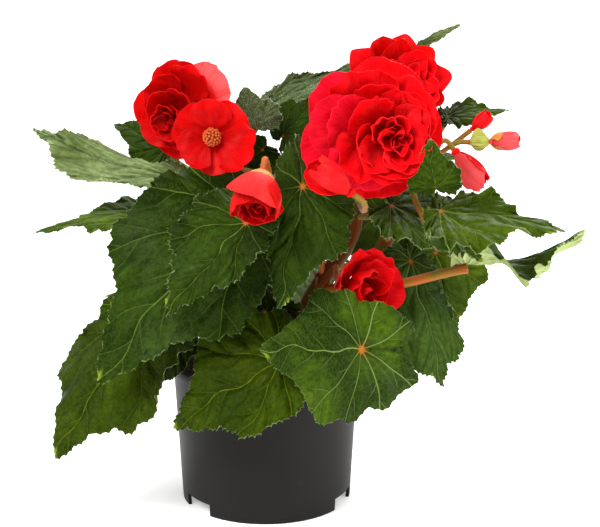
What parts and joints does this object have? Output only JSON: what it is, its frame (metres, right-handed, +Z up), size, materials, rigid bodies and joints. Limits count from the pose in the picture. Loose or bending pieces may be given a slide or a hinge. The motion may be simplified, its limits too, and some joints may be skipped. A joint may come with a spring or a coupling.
{
  "type": "potted begonia",
  "caption": "Tuberous begonia with serrated green leaves, double coral-red blooms and buds on fleshy stems, growing in a round black nursery pot.",
  "frame": {"origin": "centre of the pot's underside, on the surface that it stands on", "axes": "+Z up; -Y towards the side of the plant that the picture shows; +X to that view's right"},
  "size_m": [0.3651, 0.3015, 0.3226],
  "materials": {
    "pot_plastic": "satin charcoal injection-moulded plastic",
    "soil": "loose dark potting compost, matt",
    "stem": "fleshy stem, green turning reddish brown, finely hairy",
    "leaf": "satin green leaf with pale veins and a pale toothed margin",
    "petal": "soft coral-red petal with a silky sheen",
    "ovary": "pale green three-winged ovary",
    "stamen": "orange-yellow stamens"
  },
  "bodies": {
    "root": {"pot": "pot_plastic", "soil": "soil", "stem_centre": "stem", "stem_right": "stem", "stem_left": "stem", "stem_back": "stem", "leaf_left_broad": "leaf", "leaf_left_front": "leaf", "leaf_left_low": "leaf", "leaf_left_shade": "leaf", "leaf_front_pale": "leaf", "leaf_front_shade": "leaf", "leaf_front_broad": "leaf", "leaf_right_front": "leaf", "leaf_right_low": "leaf", "leaf_right_long": "leaf", "leaf_right_upright": "leaf", "leaf_right_mid": "leaf", "leaf_right_folded": "leaf", "leaf_left_folded": "leaf", "leaf_left_mid": "leaf", "leaf_left_small": "leaf", "leaf_top_long": "leaf", "leaf_top_shade": "leaf", "leaf_centre": "leaf", "leaf_top_young": "leaf", "leaf_right_top": "leaf", "leaf_top_narrow": "leaf", "leaf_inner_top": "leaf", "leaf_inner_right": "leaf", "leaf_back_high_left": "leaf", "leaf_back_high_right": "leaf", "leaf_back_left": "leaf", "leaf_back_middle": "leaf", "leaf_back_right": "leaf", "leaf_back_right_low": "leaf", "leaf_back_left_low": "leaf", "leaf_back_low": "leaf", "bloom_front": "petal", "bloom_top": "petal", "bloom_left": "petal", "bloom_single": "petal", "bloom_nodding": "petal", "bud_opening": "petal", "bloom_inner": "petal", "bloom_inner_small": "petal", "bud_right_outer": "petal", "bud_right_inner": "petal", "bloom_right": "petal", "bloom_back": "petal", "bud_right_outer_ovary": "ovary", "bloom_single_stamens": "stamen"}
  },
  "joints": []
}
